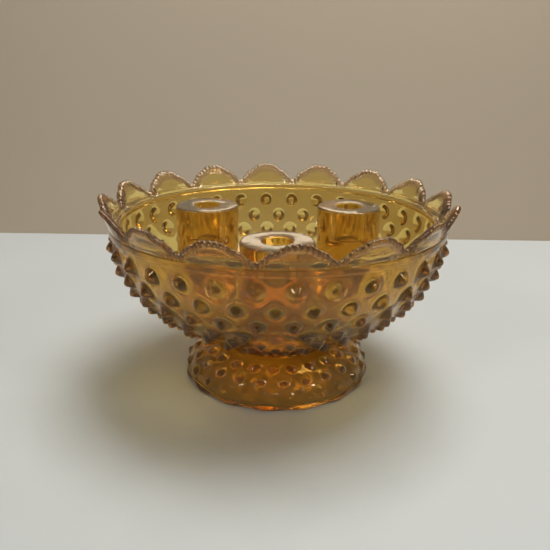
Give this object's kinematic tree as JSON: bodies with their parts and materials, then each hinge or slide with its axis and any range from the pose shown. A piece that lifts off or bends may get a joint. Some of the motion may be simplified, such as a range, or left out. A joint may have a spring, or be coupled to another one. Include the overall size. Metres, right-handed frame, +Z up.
{
  "type": "footed candle bowl",
  "caption": "Footed amber glass bowl with hobnails, a scalloped rope-edged collar and candle cups standing inside it.",
  "frame": {"origin": "centre of the face the foot stands on", "axes": "+Z up along the bowl axis, -Y towards the front candle cup, +X to the right seen from the front"},
  "size_m": [0.1676, 0.1676, 0.0909],
  "materials": {
    "amber_light": "gloss",
    "amber_mid": "gloss",
    "amber_deep": "gloss"
  },
  "bodies": {
    "root": {"bowl_wall": "amber_mid", "rim_collar": "amber_light", "rope_edge": "amber_deep", "hob_row_1": "amber_deep", "hob_row_2": "amber_deep", "hob_row_3": "amber_deep", "hob_row_4": "amber_deep", "hob_row_5": "amber_deep", "hob_row_6": "amber_deep", "hob_row_7": "amber_deep", "candle_cup_front": "amber_mid", "candle_cup_right": "amber_mid", "candle_cup_left": "amber_mid", "neck": "amber_deep", "foot_dome": "amber_mid", "foot_hem": "amber_deep", "foot_hob_row_1": "amber_deep", "foot_hob_row_2": "amber_deep", "foot_hob_row_3": "amber_deep"}
  },
  "joints": []
}
